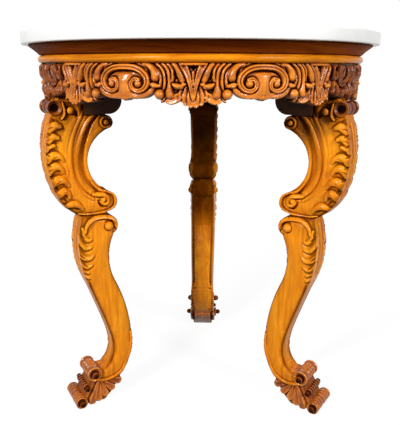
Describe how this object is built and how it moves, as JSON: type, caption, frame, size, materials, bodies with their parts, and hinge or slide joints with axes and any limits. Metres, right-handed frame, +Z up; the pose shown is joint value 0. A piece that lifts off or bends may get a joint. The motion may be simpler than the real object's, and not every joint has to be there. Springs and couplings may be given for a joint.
{
  "type": "centre table",
  "caption": "Round centre table with a marble slab on a carved apron and scroll legs with roller feet.",
  "frame": {"origin": "on the floor, under the centre of the round slab", "axes": "+Z up from the floor to the slab; +Y from the table's axis towards leg 1, which is the rear leg in the picture"},
  "size_m": [0.7099, 0.71, 0.755],
  "materials": {
    "marble": "honed off-white marble with faint veining",
    "walnut": "carved honey-brown walnut, satin varnish, darker in the recesses",
    "walnut_dark": "dark red-brown stained walnut, satin varnish",
    "walnut_light": "light figured walnut, satin varnish",
    "beech": "plain unvarnished beech",
    "steel": "plain steel screws"
  },
  "bodies": {
    "base": {"cornice_moulding": "walnut_dark", "bead_moulding": "walnut_light", "apron_rail_1": "walnut", "apron_rail_2": "walnut", "apron_rail_3": "walnut", "corner_carving_1": "walnut", "corner_carving_2": "walnut", "corner_carving_3": "walnut", "head_block_1": "walnut_dark", "head_block_2": "walnut_dark", "head_block_3": "walnut_dark", "knuckle_scroll_1": "walnut", "knuckle_scroll_2": "walnut", "knuckle_scroll_3": "walnut", "upper_scroll_1": "walnut", "upper_scroll_2": "walnut", "upper_scroll_3": "walnut", "lower_scroll_1": "walnut", "lower_scroll_2": "walnut", "lower_scroll_3": "walnut", "foot_roller_1": "walnut", "foot_roller_2": "walnut", "foot_roller_3": "walnut", "foot_shell_1": "walnut", "foot_shell_2": "walnut", "foot_shell_3": "walnut", "volute_bosses_1": "walnut", "volute_bosses_2": "walnut", "volute_bosses_3": "walnut", "bearer_1": "beech", "bearer_2": "beech", "bearer_3": "beech", "hub_block": "beech", "neck_dowels": "beech", "foot_dowels": "beech", "head_dowels": "beech", "rail_dowels": "beech", "bearer_screws": "steel", "glue_blocks": "beech"},
    "slab": {"marble_top": "marble"}
  },
  "joints": [
    {"name": "slab_lift", "type": "slide", "parent": "base", "child": "slab", "axis": [0, 0, 1], "range_m": [0, 0.06]}
  ]
}
